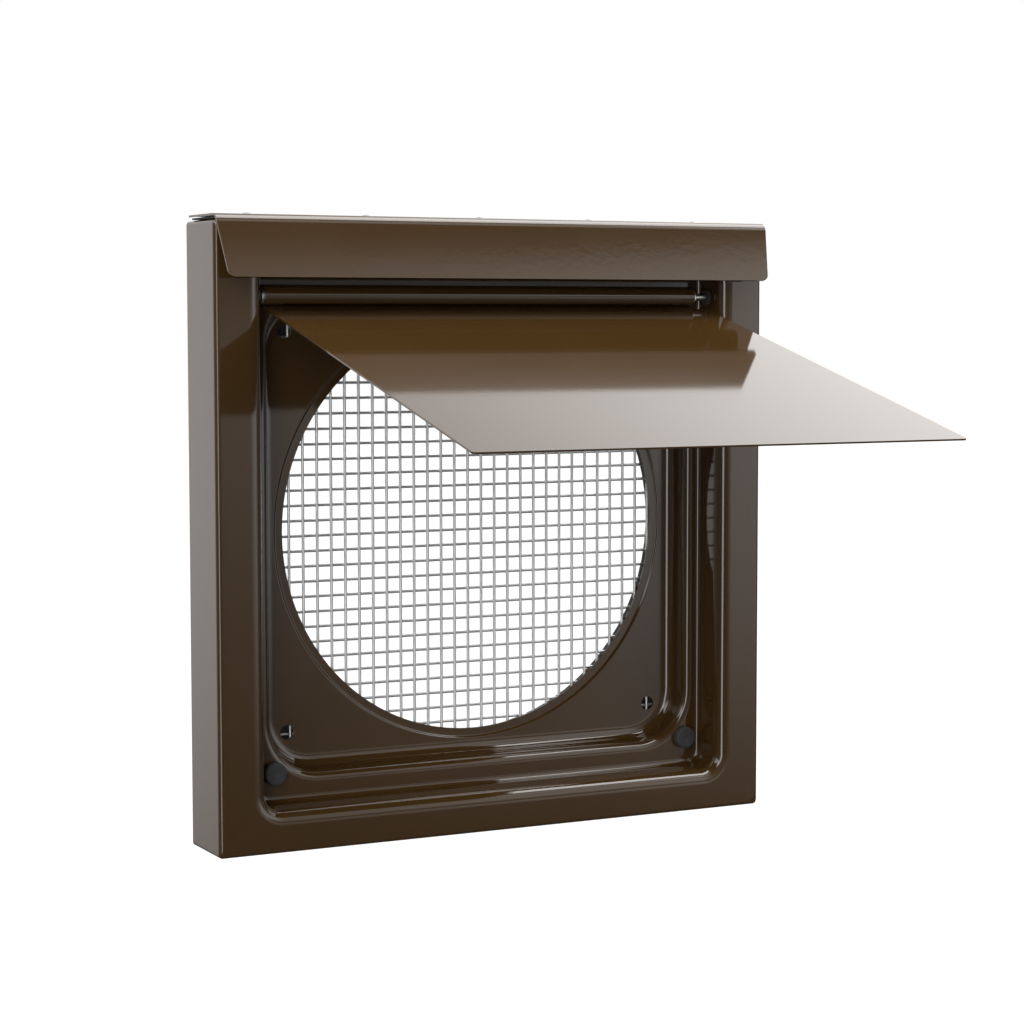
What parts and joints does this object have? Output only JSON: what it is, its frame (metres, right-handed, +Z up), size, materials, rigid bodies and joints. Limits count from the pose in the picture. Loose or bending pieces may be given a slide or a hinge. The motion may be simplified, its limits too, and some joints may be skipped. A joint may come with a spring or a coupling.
{
  "type": "flush wall vent",
  "caption": "Square flush wall vent with a stepped pressed frame, a hinged damper blade under a sloping rain hood, and a wire screen over its round duct opening.",
  "frame": {"origin": "on the axis of the round duct opening, in the plane of the wall gasket's rear face", "axes": "+X to the right seen from outside, +Y along the duct axis into the wall, +Z up"},
  "size_m": [0.254, 0.2142, 0.2583],
  "materials": {
    "brown_coat": "glossy dark brown powder coat on sheet steel",
    "zinc_plated_steel": "bright zinc plating",
    "galvanised_wire": "dull galvanised wire",
    "black_rubber": "moulded black rubber",
    "black_nylon": "moulded black nylon",
    "black_foam": "closed-cell black foam"
  },
  "bodies": {
    "frame": {"housing": "brown_coat", "hood": "brown_coat", "hinge_rod": "zinc_plated_steel", "rod_clip_left": "zinc_plated_steel", "rod_clip_right": "zinc_plated_steel", "hood_rivet_1": "zinc_plated_steel", "hood_rivet_2": "zinc_plated_steel", "hood_rivet_3": "zinc_plated_steel", "hood_rivet_4": "zinc_plated_steel", "hood_rivet_5": "zinc_plated_steel", "wall_bush_left": "black_nylon", "wall_bush_right": "black_nylon", "bumper_left": "black_rubber", "bumper_right": "black_rubber", "screen_uprights": "galvanised_wire", "screen_cross_wires": "galvanised_wire", "wall_gasket": "black_foam", "hood_seal": "black_foam"},
    "damper": {"damper_blade": "brown_coat", "knuckle_bush_left": "zinc_plated_steel", "knuckle_bush_right": "zinc_plated_steel"}
  },
  "joints": [
    {"name": "damper_hinge", "type": "hinge", "parent": "frame", "child": "damper", "pos_m": [0, -0.024, 0.0974], "axis": [-1, 0, 0], "range_deg": [-74.4, 42]}
  ]
}
